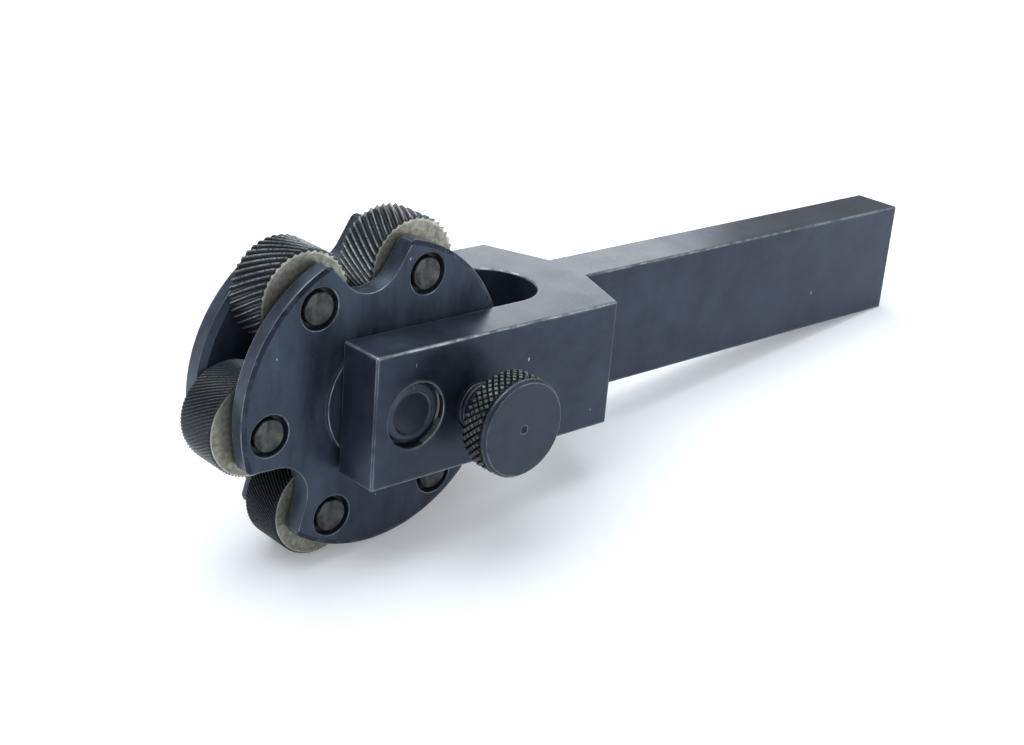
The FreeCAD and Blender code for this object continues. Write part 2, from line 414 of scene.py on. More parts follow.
    def nicks(self, tree: Tree, centred: Socket) -> Socket:
        """Scatters the few small bright marks that other tools have knocked into the bluing.

        Args:
            tree: The material's node tree.
            centred: Object coordinates from the piece's centre.

        Returns:
            A socket that is 1 inside a nick.
        """
        bend = node_out(
            tree,
            "TexNoise",
            {"Vector": centred, "Scale": scale_of(self.jag_size), "Detail": 2.0},
            out="Color",
        )
        jagged = node_out(
            tree, "VectorMath", {0: bend, 1: (self.jag_reach * MM,) * 3, 2: centred}, operation="MULTIPLY_ADD"
        )
        slanted = node_out(
            tree, "Mapping", {"Vector": jagged, "Rotation": (0.0, 0.5, 0.3), "Scale": (1.0, 1.0, 0.45)}
        )
        marks = node_out(tree, "TexVoronoi", {"Vector": slanted, "Scale": scale_of(self.nick_spacing)})
        close = self.nick_size / self.nick_spacing
        spot = node_out(tree, "MapRange", {"Value": marks, "From Min": close, "From Max": close * 0.5})
        pick = node_out(tree, "SeparateColor", {"Color": marks.node.outputs["Color"]}, out="Red")
        chosen = node_out(tree, "Math", {0: pick, 1: 0.55}, operation="GREATER_THAN")
        return node_out(tree, "Math", {0: spot, 1: chosen}, operation="MULTIPLY")

    def relief(self, tree: Tree, centred: Socket) -> Socket:
        """Raises the machining lines and sinks the small pits left in the blank.

        Args:
            tree: The material's node tree.
            centred: Object coordinates from the piece's centre.

        Returns:
            The bumped normal.
        """
        if self.grain is Grain.TURNED:
            lines = node_out(
                tree,
                "TexWave",
                {
                    "Vector": centred,
                    "Scale": scale_of(self.line_spacing) / 20,
                    "Distortion": 0.6,
                    "Detail": 1.0,
                },
                out="Fac",
                wave_type="RINGS",
                rings_direction="Y",
                wave_profile="SIN",
            )
        else:
            stretched = node_out(
                tree, "Mapping", {"Vector": centred, "Scale": (0.03, 1.0, 1.0)}, vector_type="POINT"
            )
            lines = node_out(
                tree, "TexNoise", {"Vector": stretched, "Scale": scale_of(self.line_spacing), "Detail": 3.0}
            )
        cells = node_out(
            tree, "TexNoise", {"Vector": centred, "Scale": scale_of(self.pit_size), "Detail": 2.0}
        )
        pits = node_out(
            tree,
            "MapRange",
            {"Value": cells, "From Min": 0.74, "From Max": 0.79, "To Min": 1.0, "To Max": 0.0},
            interpolation_type="SMOOTHSTEP",
        )
        rounded = node_out(tree, "Bevel", {"Radius": self.edge_rounding * MM}, samples=8)
        lined = node_out(
            tree,
            "Bump",
            {"Height": lines, "Strength": 0.35, "Distance": self.line_depth * MM, "Normal": rounded},
        )
        return node_out(
            tree, "Bump", {"Height": pits, "Strength": 0.6, "Distance": self.pit_depth * MM, "Normal": lined}
        )


@dataclass(frozen=True)
class ToothSteel:
    """Hardened tool steel, dark from heat treatment, with crests rubbed bright by use."""

    name: str
    centre: tuple[float, float, float]
    root_radius: float
    crest_radius: float
    valley: str = "24282F"
    crest: str = "8A9097"
    roughness: float = 0.4
    metallic: float = 0.55
    grit_size: float = 0.45
    grit_depth: float = 0.03

    def material(self) -> bpy.types.Material:
        """Builds the node material, brightened by distance from the wheel's own axis.

        Returns:
            The finished material.
        """
        material, centred = start_material(self.name, self.centre)
        tree = material.node_tree
        flat = node_out(tree, "VectorMath", {0: centred, 1: (1.0, 0.0, 1.0)}, operation="MULTIPLY")
        reach = node_out(tree, "VectorMath", {0: flat}, out="Value", operation="LENGTH")
        height = node_out(
            tree,
            "MapRange",
            {
                "Value": reach,
                "From Min": (self.crest_radius - 0.42 * (self.crest_radius - self.root_radius)) * MM,
                "From Max": (self.crest_radius - 0.03) * MM,
            },
            interpolation_type="SMOOTHSTEP",
        )
        grit = node_out(
            tree, "TexNoise", {"Vector": centred, "Scale": scale_of(self.grit_size), "Detail": 4.0}
        )
        brightened = node_out(tree, "MapRange", {"Value": grit, "From Min": 0.3, "From Max": 0.62})
        bright = node_out(tree, "Math", {0: height, 1: brightened}, operation="MULTIPLY")
        colour = node_out(
            tree,
            "Mix",
            {"Factor": bright, 6: to_linear(self.valley), 7: to_linear(self.crest)},
            out=2,
            data_type="RGBA",
        )
        bump = node_out(tree, "Bump", {"Height": grit, "Strength": 0.5, "Distance": self.grit_depth * MM})
        surface = {"Base Color": colour, "Roughness": self.roughness, "Normal": bump}
        fill_inputs(tree.nodes["Principled BSDF"], surface | {"Metallic": self.metallic})
        return material


@dataclass(frozen=True)
class GroundSteel:
    """Bare steel, ground or sawn, with a dull straw-grey film of oil and rust.

    The eye sees a warm grey that is rougher and lighter than the blued pieces round it.
    """

    name: str
    centre: tuple[float, float, float]
    dark: str = "7B7A6F"
    light: str = "A7A597"
    patch_size: float = 0.9
    roughness: float = 0.46
    metallic: float = 0.8
    scratch_size: float = 0.35
    scratch_depth: float = 0.03

    def material(self) -> bpy.types.Material:
        """Builds the node material.

        Returns:
            The finished material.
        """
        material, centred = start_material(self.name, self.centre)
        tree = material.node_tree
        patches = node_out(
            tree,
            "TexNoise",
            {"Vector": centred, "Scale": scale_of(self.patch_size), "Detail": 6.0, "Roughness": 0.65},
        )
        contrast = node_out(tree, "MapRange", {"Value": patches, "From Min": 0.34, "From Max": 0.66})
        colour = node_out(
            tree,
            "Mix",
            {"Factor": contrast, 6: to_linear(self.dark), 7: to_linear(self.light)},
            out=2,
            data_type="RGBA",
        )
        scratches = node_out(
            tree,
            "TexNoise",
            {"Vector": centred, "Scale": scale_of(self.scratch_size), "Detail": 4.0, "Roughness": 0.7},
        )
        bump = node_out(
            tree, "Bump", {"Height": scratches, "Strength": 0.6, "Distance": self.scratch_depth * MM}
        )
        gloss = node_out(
            tree,
            "MapRange",
            {"Value": contrast, "To Min": self.roughness + 0.1, "To Max": self.roughness - 0.08},
        )
        surface = {"Base Color": colour, "Roughness": gloss, "Normal": bump, "Metallic": self.metallic}
        fill_inputs(tree.nodes["Principled BSDF"], surface)
        return material


def cross_wise(x: float, z: float) -> Matrix:
    """Gives the turn and move that lays a shape made about Z along Y, through x, z.

    Args:
        x: The axis's place along the shank.
        z: The axis's height.

    Returns:
        A matrix that takes the shape's X to +X, its Y to +Z and its Z to +Y.
    """
    return Matrix(((1, 0, 0, x), (0, 0, 1, 0), (0, 1, 0, z), (0, 0, 0, 1)))


def add_object(name: str, data: bpy.types.ID) -> bpy.types.Object:
    """Makes an object of a mesh, lamp or camera and puts it in the scene."""
    made = bpy.data.objects.new(name, data)
    bpy.context.scene.collection.objects.link(made)
    return made


def finished(
    shape: Shape,
    name: str,
    place: Matrix,
    materials: list[bpy.types.Material],
    smooth_below: float = 32.0,
) -> bpy.types.Object:
    """Turns a bmesh in millimetres into a piece in metres, at the origin.

    Args:
        shape: The shape; it is freed here.
        name: The piece's name.
        place: Where the shape goes, in millimetres.
        materials: One material for each material index that the shape uses.
        smooth_below: Faces that meet at less than this many degrees are shaded smooth.

    Returns:
        The new object.
    """
    bmesh.ops.transform(shape, matrix=Matrix.Scale(MM, 4) @ place, verts=shape.verts)
    bmesh.ops.remove_doubles(shape, verts=shape.verts, dist=0.002 * MM)
    bmesh.ops.recalc_face_normals(shape, faces=shape.faces)
    for face in shape.faces:
        face.smooth = True
    for edge in shape.edges:
        if len(edge.link_faces) == 2:
            edge.smooth = edge.calc_face_angle(0.0) < math.radians(smooth_below)
    mesh = bpy.data.meshes.new(name)
    shape.to_mesh(mesh)
    shape.free()
    for material in materials:
        mesh.materials.append(material)
    return add_object(name, mesh)


def next_ring(
    shape: Shape,
    ring: list[Edge],
    move: Callable[[Vector], Vector],
    material_index: int = 0,
) -> list[Edge]:
    """Extrudes a ring of edges and moves the new ring.

    Args:
        shape: The shape that holds the ring.
        ring: The open edges to extrude.
        move: Gives a vertex's new place from its old one.
        material_index: The material of the faces in between.

    Returns:
        The new ring's edges.
    """
    grown = bmesh.ops.extrude_edge_only(shape, edges=ring)["geom"]
    for item in grown:
        if isinstance(item, bmesh.types.BMVert):
            item.co = move(item.co)
        elif isinstance(item, bmesh.types.BMFace):
            item.material_index = material_index
    return [item for item in grown if isinstance(item, Edge) and item.is_boundary]


def to_ring(radius: float, height: float) -> Callable[[Vector], Vector]:
    """Gives the move that puts a vertex on a circle about Z, at the same bearing."""

    def move(place: Vector) -> Vector:
        """Puts one vertex on the circle."""
        flat = Vector((place.x, place.y, 0.0)).normalized() * radius
        return Vector((flat.x, flat.y, height))

    return move


def lathe(profile: list[tuple[float, float]], segments: int = 64) -> Shape:
    """Turns a profile about Z.

    Args:
        profile: Radius and height of each corner; a radius of 0 closes an end.
        segments: Steps round the full turn.

    Returns:
        The turned shape.
    """
    shape = bmesh.new()
    corners = [shape.verts.new((radius, 0.0, height)) for radius, height in profile]
    edges = [shape.edges.new(pair) for pair in zip(corners, corners[1:])]
    line = corners + edges
    bmesh.ops.spin(
        shape, geom=line, cent=(0, 0, 0), axis=(0, 0, 1), angle=math.tau, steps=segments, use_merge=True
    )
    bmesh.ops.remove_doubles(shape, verts=shape.verts, dist=0.001)
    return shape


def roughen(shape: Shape, depth: float, size: float, seed: float, above: float) -> None:
    """Pushes the vertices of both ends up and down, as a sawn or peened end is uneven.

    Args:
        shape: The shape to change.
        depth: The most that a vertex moves.
        size: The size of the unevenness.
        seed: Sets this piece's own pattern.
        above: Only vertices further than this from the middle move.
    """
    for vertex in shape.verts:
        if abs(vertex.co.z) > above:
            sample = Vector((vertex.co.x / size + seed, vertex.co.y / size, vertex.co.z / size))
            vertex.co.z += depth * noise.noise(sample)


@dataclass
class Holder:
    """The shank and its fork, with the pivot pin pressed through both arms."""

    fork_half: float = 19.8
    mouth_radius: float = 6.28
    pivot_radius: float = 5.55625
    pivot_recess: float = 1.0
    pivot_chamfer: float = 1.15
    chamfer_depth: float = 0.5
    dish: float = 0.25
    lip: float = 0.25
    dish_slope: float = 0.2
    dish_fall: float = 0.05
    parts: list[bpy.types.Object] = field(default_factory=list)

    def dress(self) -> None:
        """Gives the CAD holder its finish and makes the pivot pin."""
        # The ring in the bore is a painted glint, set off-centre onto the lit wall of the mouth, where the
        # steel is also rubbed bare.
        off = 0.9  # the ring then meets the mouth's wall on the shank's side alone
        brightened = Ring(
            PIVOT_X + off,
            PIVOT_Z,
            self.mouth_radius - off,
            half_width=0.12,
            across=self.fork_half - 1.5,
            half_across=0.3,
        )
        finish = BluedSteel(
            "blued_ground_steel",
            (-50.0, 0.0, 12.7),
            Grain.GROUND_LENGTHWISE,
            edge_highlight=0.55,
            bore_glint=brightened,
            chamfered=True,
        )
        assign(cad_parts["holder"], finish.material())
        LOG.info("holder: blued and ground, CAD shape kept")
        self.parts.append(self.pivot_pin())

    def pivot_pin(self) -> bpy.types.Object:
        """Builds the pivot pin with its turned, slightly dished ends.

        Returns:
            The pin.
        """
        end = self.fork_half - self.pivot_recess
        rim = self.pivot_radius - self.pivot_chamfer
        upper = [
            (self.pivot_radius, end - self.chamfer_depth),
            (rim, end),
            (rim - self.lip, end),
            (rim - self.lip - self.dish_slope, end - self.dish),
            (rim * 0.5, end - self.dish - self.dish_fall),
            (0.0, end - self.dish - self.dish_fall),
        ]
        lower = [(radius, -height) for radius, height in reversed(upper)]
        finish = BluedSteel(
            "blued_turned_pin_steel",
            (PIVOT_X, 0.0, PIVOT_Z),
            Grain.TURNED,
            dark="1F232A",
            light="2C3038",
            line_depth=0.02,
            edge_width=0.2,
            highlight_width=0.6,
        )
        # The chamfer takes a lighter copy of the pin's bluing, a painted highlight for the light that band
        # catches.
        brightened = BluedSteel(
            "lit_pin_chamfer_steel", (PIVOT_X, 0.0, PIVOT_Z), Grain.TURNED, dark="3B424B", light="5B636C"
        )
        shape = lathe(lower + upper)
        for face in shape.faces:
            place = face.calc_center_median()
            outside = math.hypot(place.x, place.y) > rim
            face.material_index = int(outside and end - self.chamfer_depth < abs(place.z) < end)
        materials = [finish.material(), brightened.material()]
        pin = finished(shape, "pivot_pin_turned", cross_wise(PIVOT_X, PIVOT_Z), materials)
        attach(pin, "holder")
        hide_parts("pivot_pin")
        LOG.info("pivot pin: %d faces", len(pin.data.polygons))
        return pin


@dataclass
class KnurlWheel:
    """One hardened wheel with helical teeth, and the pin that it turns on."""

    grade: Grade
    hand: Hand
    bearing: float
    radius: float = 9.52
    width: float = 9.5
    helix: float = 30.0
    sharpness: float = 0.85
    crest_share: float = 0.10
    root_share: float = 0.22
    stretches: int = 8
    bore: float = 4.02
    bore_chamfer: float = 0.2
    rim_width: float = 0.3
    web: float = 0.5
    pin_radius: float = 3.96875
    pin_end: float = 9.05
    boss_radius: float = 3.08
    gap_depth: float = 1.6
    boss_chamfer: float = 0.15
    boss_edge: float = 0.2
    unevenness: float = 0.08
    uneven_size: float = 1.6

    @property
    def name(self) -> str:
        """The wheel's name, from its grade and hand."""
        return f"{self.grade.name}_{self.hand.name}".lower()

    @property
    def axis(self) -> tuple[float, float]:
        """The wheel's axis in the side view."""
        turn = math.radians(self.bearing)
        return PIVOT_X + PIN_CIRCLE_RADIUS * math.cos(turn), PIVOT_Z + PIN_CIRCLE_RADIUS * math.sin(turn)

    @property
    def root(self) -> float:
        """The radius at the bottom of the teeth, which stand at 90 degrees."""
        return self.radius - math.pi * self.radius / self.grade.value * self.sharpness

    @property
    def bevel(self) -> float:
        """How far the ends of the teeth are bevelled, on the fine wheels down to the roots."""
        return 0.36 if self.grade is Grade.FINE else 0.3

    def toothed_ring(self, shape: Shape, height: float, limit: float) -> list[Edge]:
        """Starts the wheel: a ring with a crest flat and a root flat for every tooth.

        Args:
            shape: The shape to add to.
            height: Where the ring lies along the axis.
            limit: No vertex lies further out than this.

        Returns:
            The ring's edges.
        """
        teeth = self.grade.value
        made = bmesh.ops.create_circle(shape, segments=4 * teeth, radius=self.radius)["verts"]
        corners = self.full_ring()
        for number, vertex in enumerate(made):
            tooth, corner = divmod(number, len(corners))
            share, reach = corners[corner]
            bearing = (tooth + share) * math.tau / teeth
            reach = min(reach, limit)
            vertex.co = (reach * math.cos(bearing), reach * math.sin(bearing), height)
        return list({edge for vertex in made for edge in vertex.link_edges})

    def wheel(self) -> bpy.types.Object:
        """Builds the wheel: teeth wound on a helix, bevelled ends, ground sides and bore.

        Returns:
            The wheel.
        """
        shape = bmesh.new()
        half = self.width / 2
        side = self.radius - self.bevel
        twist = self.hand.value * math.tan(math.radians(self.helix)) / self.radius
        ring = self.toothed_ring(shape, -half, side)
        lower = list(ring)
        step = (self.width - 2 * self.bevel) / self.stretches
        heights = [self.bevel - half + step * count for count in range(self.stretches + 1)] + [half]
        for before, height in zip([-half] + heights, heights):
            limit = side if height == half else self.radius
            ring = next_ring(shape, ring, self.wind(self.full_ring(), twist, before, height, limit))
        profile = [
            (self.root - self.rim_width, half),
            (self.bore + self.bore_chamfer + self.web, half),
            (self.bore + self.bore_chamfer, half),
            (self.bore, half - self.bore_chamfer),
        ]
        upper = self.side(shape, ring, profile)
        under = self.side(shape, lower, [(radius, -height) for radius, height in profile])
        bmesh.ops.bridge_loops(shape, edges=upper + under)
        x, z = self.axis
        valley, crest = TOOTH_COLOURS[self.grade]
        teeth = ToothSteel(f"hardened_{self.name}_teeth", (x, 0.0, z), self.root, self.radius, valley, crest)
        ground = GroundSteel(f"ground_{self.name}_side", (x, 0.0, z))
        rim = GroundSteel(f"rubbed_{self.name}_rim", (x, 0.0, z), "97958A", "D5D3C6", patch_size=1.6)
        materials = [teeth.material(), ground.material(), rim.material()]
        piece = finished(shape, f"{self.name}_wheel", cross_wise(x, z), materials, smooth_below=20.0)
        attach(piece, f"{self.name}_knurl")
        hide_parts(f"{self.name}_knurl")
        LOG.info("%s wheel: %d teeth, %d faces", self.name, self.grade.value, len(piece.data.polygons))
        return piece

    def full_ring(self) -> list[tuple[float, float]]:
        """Gives the share of a pitch and the radius of each tooth corner, without any bevel."""
        return [
            (-self.crest_share / 2, self.radius),
            (self.crest_share / 2, self.radius),
            (0.5 - self.root_share / 2, self.root),
            (0.5 + self.root_share / 2, self.root),
        ]

    def wind(
        self, corners: list[tuple[float, float]], twist: float, start: float, end: float, limit: float
    ) -> Callable[[Vector], Vector]:
        """Gives the move that carries a ring along the helix.

        Args:
            corners: The share of a pitch and the radius of each corner of a tooth.
            twist: Turn in radians for each millimetre.
            start: The old ring's height.
            end: The new ring's height.
            limit: No vertex lies further out than this.

        Returns:
            The move for one vertex.
        """
        pitch = math.tau / self.grade.value
        half = self.width / 2

        def move(place: Vector) -> Vector:
            """Carries one vertex along the helix."""
            bearing = math.atan2(place.y, place.x)
            share = ((bearing - twist * (start + half)) / pitch + self.crest_share) % 1.0 - self.crest_share
            reach = min(corners, key=lambda corner: abs(corner[0] - share))[1]
            reach = min(reach, limit)
            turned = bearing + twist * (end - start)
            return Vector((reach * math.cos(turned), reach * math.sin(turned), end))

        return move

    def side(self, shape: Shape, ring: list[Edge], profile: list[tuple[float, float]]) -> list[Edge]:
        """Runs the ground side in from the toothed outline to the bore.

        Args:
            shape: The wheel's shape.
            ring: The outline's edges.
            profile: Radius and height of each ring, from the outside in.

        Returns:
            The innermost ring's edges.
        """
        for count, (radius, height) in enumerate(profile):
            ring = next_ring(shape, ring, to_ring(radius, height), material_index=1 if count else 2)
        return ring

    def pin(self) -> bpy.types.Object:
        """Builds the wheel's pin, whose ends are turned down and left rough.

        Returns:
            The pin.
        """
        end = self.pin_end
        floor = end - self.gap_depth
        upper = [
            (self.pin_radius, floor),
            (self.boss_radius, floor),
            (self.boss_radius, end - self.boss_edge),
            (self.boss_radius - self.boss_chamfer, end),
        ]
        upper += [(self.boss_radius * share, end) for share in (0.8, 0.6, 0.4, 0.2)]
        upper.append((0.0, end))
        lower = [(radius, -height) for radius, height in reversed(upper)]
        shape = lathe(lower + upper, 40)
        for face in shape.faces:
            height = abs(face.calc_center_median().z)
            face.material_index = int(floor - 0.01 < height < end - self.boss_chamfer)
        roughen(shape, self.unevenness, self.uneven_size, self.bearing, end - 0.05)
        x, z = self.axis
        finish = GroundSteel(
            f"peened_{self.name}_pin_steel",
            (x, 0.0, z),
            dark="2E3134",
            light="5D5D58",
            patch_size=2.1,
            roughness=0.42,
            metallic=0.7,
        )
        # The gap round each boss is painted near black, a painted shade in the recess.
        painted_gap_shade = GroundSteel(f"oily_{self.name}_pin_gap", (x, 0.0, z), "101214", "1B1D20", metallic=0.0)
        materials = [finish.material(), painted_gap_shade.material()]
        piece = finished(shape, f"{self.name}_wheel_pin", cross_wise(x, z), materials, smooth_below=40.0)
        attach(piece, "head")
        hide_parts(f"{self.name}_knurl_pin")
        LOG.info("%s pin: %d faces", self.name, len(piece.data.polygons))
        return piece


@dataclass
class RevolvingHead:
    """The notched carrier with its three pairs of wheels."""

    parts: list[bpy.types.Object] = field(default_factory=list)

    def wheels(self) -> list[KnurlWheel]:
        """Lists the wheels round the head, each by its bearing from +X towards +Z.

        Returns:
            The six wheels.
        """
        return [
            KnurlWheel(Grade.COARSE, Hand.RIGHT, 66.0),
            KnurlWheel(Grade.COARSE, Hand.LEFT, 126.0),
            KnurlWheel(Grade.FINE, Hand.LEFT, 186.0),
            KnurlWheel(Grade.FINE, Hand.RIGHT, 246.0),
            KnurlWheel(Grade.MEDIUM, Hand.RIGHT, 306.0),
            KnurlWheel(Grade.MEDIUM, Hand.LEFT, 6.0),
        ]

    def dress(self) -> None:
        """Gives the CAD carrier its finish and makes the wheels and their pins."""
        finish = BluedSteel(
            "blued_turned_carrier_steel",
            (PIVOT_X, 0.0, PIVOT_Z),
            Grain.TURNED,
            dark="242A33",
            light="414A57",
            line_spacing=0.6,
            line_depth=0.01,
            highlight_width=0.7,
            edge_highlight=0.3,
            cloud_size=5.0,
            streak=0.3,
            nick_size=0.15,
            # A ring of painted shade, near black, on the outer bevels of both cheeks.
            shaded_bevel=Ring(PIVOT_X, PIVOT_Z, radius=28.62, half_width=0.42, across=9.05, half_across=0.3),
        )
        assign(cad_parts["knurl_carrier"], finish.material())
        LOG.info("carrier: blued and turned, CAD shape kept")
        for wheel in self.wheels():
            self.parts += [wheel.wheel(), wheel.pin()]


@dataclass
class LockScrew:
    """The threaded stud and its round knob with a band of diamond knurling."""

    stud_radius: float = 4.7
    thread_depth: float = 0.62
    pitch: float = 25.4 / 24
    thread_start: float = 12.2
    tip: float = 9.45
    tip_radius: float = 2.4
    shoulder: float = 11.65
    back: float = 26.1
    front: float = 32.39
    knob_radius: float = 9.45
    diamonds: int = 40
    diamond_rows: int = 3
    diamond_depth: float = 0.46
    lip: float = 1.25
    lip_sunk: float = 0.12
    lip_slope: float = 0.2
    face_chamfer: float = 0.65
    face_flat: float = 0.5
    dimple_radius: float = 0.85
    dimple_depth: float = 0.55
    tip_chamfer: float = 0.3
    face_thickness: float = 2.2
    thread_flank: float = 0.47
    thread_flat: float = 0.07
    thread_sunk: float = 0.12
    groove_step: float = 0.1
    whole_inset: float = 0.27
    half_inset: float = 0.16
    half_share: float = 0.6
    parts: list[bpy.types.Object] = field(default_factory=list)

    def place(self) -> Matrix:
        """Gives the matrix that points a shape made along +Z out along -Y from the arm."""
        return cross_wise(LOCK_X, LOCK_Z) @ Matrix.Scale(-1, 4, (0, 0, 1))

    def dress(self) -> None:
        """Makes the stud and the knob."""
        finish = BluedSteel(
            "blued_turned_knob_steel",
            (LOCK_X, 0.0, LOCK_Z),
            Grain.TURNED,
            dark="1F2329",
            light="2E333A",
            nick_size=0.12,
            line_spacing=0.5,
            line_depth=0.006,
            highlight_width=0.6,
        )
        material = finish.material()
        valley = self.knob_radius - self.diamond_depth
        middle = (LOCK_X, 0.0, LOCK_Z)
        band = ToothSteel("knurled_band_steel", middle, valley, self.knob_radius, "20252A", "6F7573")
        self.parts = [self.stud(material), self.knob(material, band.material())]

    def stud(self, material: bpy.types.Material) -> bpy.types.Object:
        """Builds the stud: a core with its turned tip, and a thread ridge wound round it.

        Args:
            material: The screw's finish.

        Returns:
            The stud.
        """
        core = self.stud_radius - self.thread_depth
        profile = [
            (0.0, self.tip),
            (self.tip_radius - self.tip_chamfer, self.tip),
            (self.tip_radius, self.tip + self.tip_chamfer),
            (self.tip_radius, self.shoulder),
            (core, self.shoulder + self.tip_chamfer),
            (core, self.front - self.face_thickness),
            (0.0, self.front - self.face_thickness),
        ]
        shape = lathe(profile, 48)
        turns = (self.back + 0.3 - self.thread_start) / self.pitch
        half_base = self.pitch * self.thread_flank
        half_crest = self.pitch * self.thread_flat
        outline = [
            (core - self.thread_sunk, -half_base),
            (core, -half_base),
            (self.stud_radius, -half_crest),
            (self.stud_radius, half_crest),
            (core, half_base),
            (core - self.thread_sunk, half_base),
        ]
        corners = [shape.verts.new((radius, 0.0, self.thread_start + height)) for radius, height in outline]
        section = shape.faces.new(corners)
        steps = round(turns * 28)
        bmesh.ops.spin(
            shape,
            geom=[*section.verts, *section.edges, section],
            cent=(0, 0, 0),
            axis=(0, 0, 1),
            dvec=(0, 0, turns * self.pitch / steps),
            angle=math.tau * turns,
            steps=steps,
        )
        piece = finished(shape, "lock_stud_threaded", self.place(), [material], smooth_below=40.0)
        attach(piece, "lock_stud")
        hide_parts("lock_stud")
        LOG.info("lock stud: %.1f turns of thread, %d faces", turns, len(piece.data.polygons))
        return piece

    def knob(self, material: bpy.types.Material, band_material: bpy.types.Material) -> bpy.types.Object:
        """Builds the knob, its band cut into diamonds and its face turned with a centre.

        Args:
            material: The screw's finish.
            band_material: The finish of the diamonds, bright on their points.

        Returns:
            The knob.
        """
        shape = bmesh.new()
        valley = self.knob_radius - self.diamond_depth
        band_top = self.front - self.lip
        made = bmesh.ops.create_circle(shape, segments=self.diamonds, radius=valley)["verts"]
        band_foot = self.back + self.groove_step
        bmesh.ops.translate(shape, verts=made, vec=(0, 0, band_foot))
        ring = list({edge for vertex in made for edge in vertex.link_edges})
        rise = (band_top - band_foot) / self.diamond_rows
        for row in range(self.diamond_rows):
            ring = next_ring(shape, ring, to_ring(valley, band_foot + rise * (row + 1)))
        band = list(shape.faces)
        lattice = [edge for edge in shape.edges if len(edge.link_faces) == 2]
        centres = bmesh.ops.poke(shape, faces=band)["verts"]
        for vertex in centres:
            vertex.co = to_ring(valley, vertex.co.z)(vertex.co)
        bmesh.ops.dissolve_edges(shape, edges=lattice, use_verts=False)
        self.raise_diamonds(shape, list(shape.faces))
        for face in shape.faces:
            face.material_index = 1
        open_edges = [edge for edge in shape.edges if edge.is_boundary]
        top = [edge for edge in open_edges if edge.verts[0].co.z > (self.back + band_top) / 2]
        bottom = [edge for edge in open_edges if edge not in top]
        lip_radius = self.knob_radius - self.lip_sunk
        profile = [
            (valley, band_top + 0.04),
            (lip_radius, band_top + self.lip_slope),
            (lip_radius, self.front - self.face_chamfer),
            (self.knob_radius - self.face_chamfer, self.front),
            (self.knob_radius * 0.7, self.front),
            (self.dimple_radius + self.face_flat, self.front),
            (self.dimple_radius, self.front),
            (self.dimple_radius * 0.35, self.front - self.dimple_depth),
        ]
        ring = top
        for radius, height in profile:
            ring = next_ring(shape, ring, to_ring(radius, height))
        bmesh.ops.contextual_create(shape, geom=ring)
        ring = bottom
        for radius in (valley - self.groove_step, self.stud_radius - 0.3):
            ring = next_ring(shape, ring, to_ring(radius, self.back))
        bmesh.ops.contextual_create(shape, geom=ring)
        materials = [material, band_material]
        piece = finished(shape, "lock_knob_knurled", self.place(), materials, smooth_below=24.0)
        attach(piece, "lock_knob")
        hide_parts("lock_knob")
        LOG.info("lock knob: %d faces", len(piece.data.polygons))
        return piece

    def raise_diamonds(self, shape: Shape, diamonds: list[bmesh.types.BMFace]) -> None:
        """Raises each diamond of the band to a blunt point.

        Args:
            shape: The knob's shape.
            diamonds: The flat diamonds, and the half ones at the band's edges.
        """
        whole = [face for face in diamonds if len(face.verts) == 4]
        half = [face for face in diamonds if len(face.verts) == 3]
        bmesh.ops.recalc_face_normals(shape, faces=diamonds)
        sizes = ((whole, self.whole_inset, 1.0), (half, self.half_inset, self.half_share))
        for faces, inset, share in sizes:
            depth = self.diamond_depth * share
            bmesh.ops.inset_individual(shape, faces=faces, thickness=inset, depth=depth, use_even_offset=True)


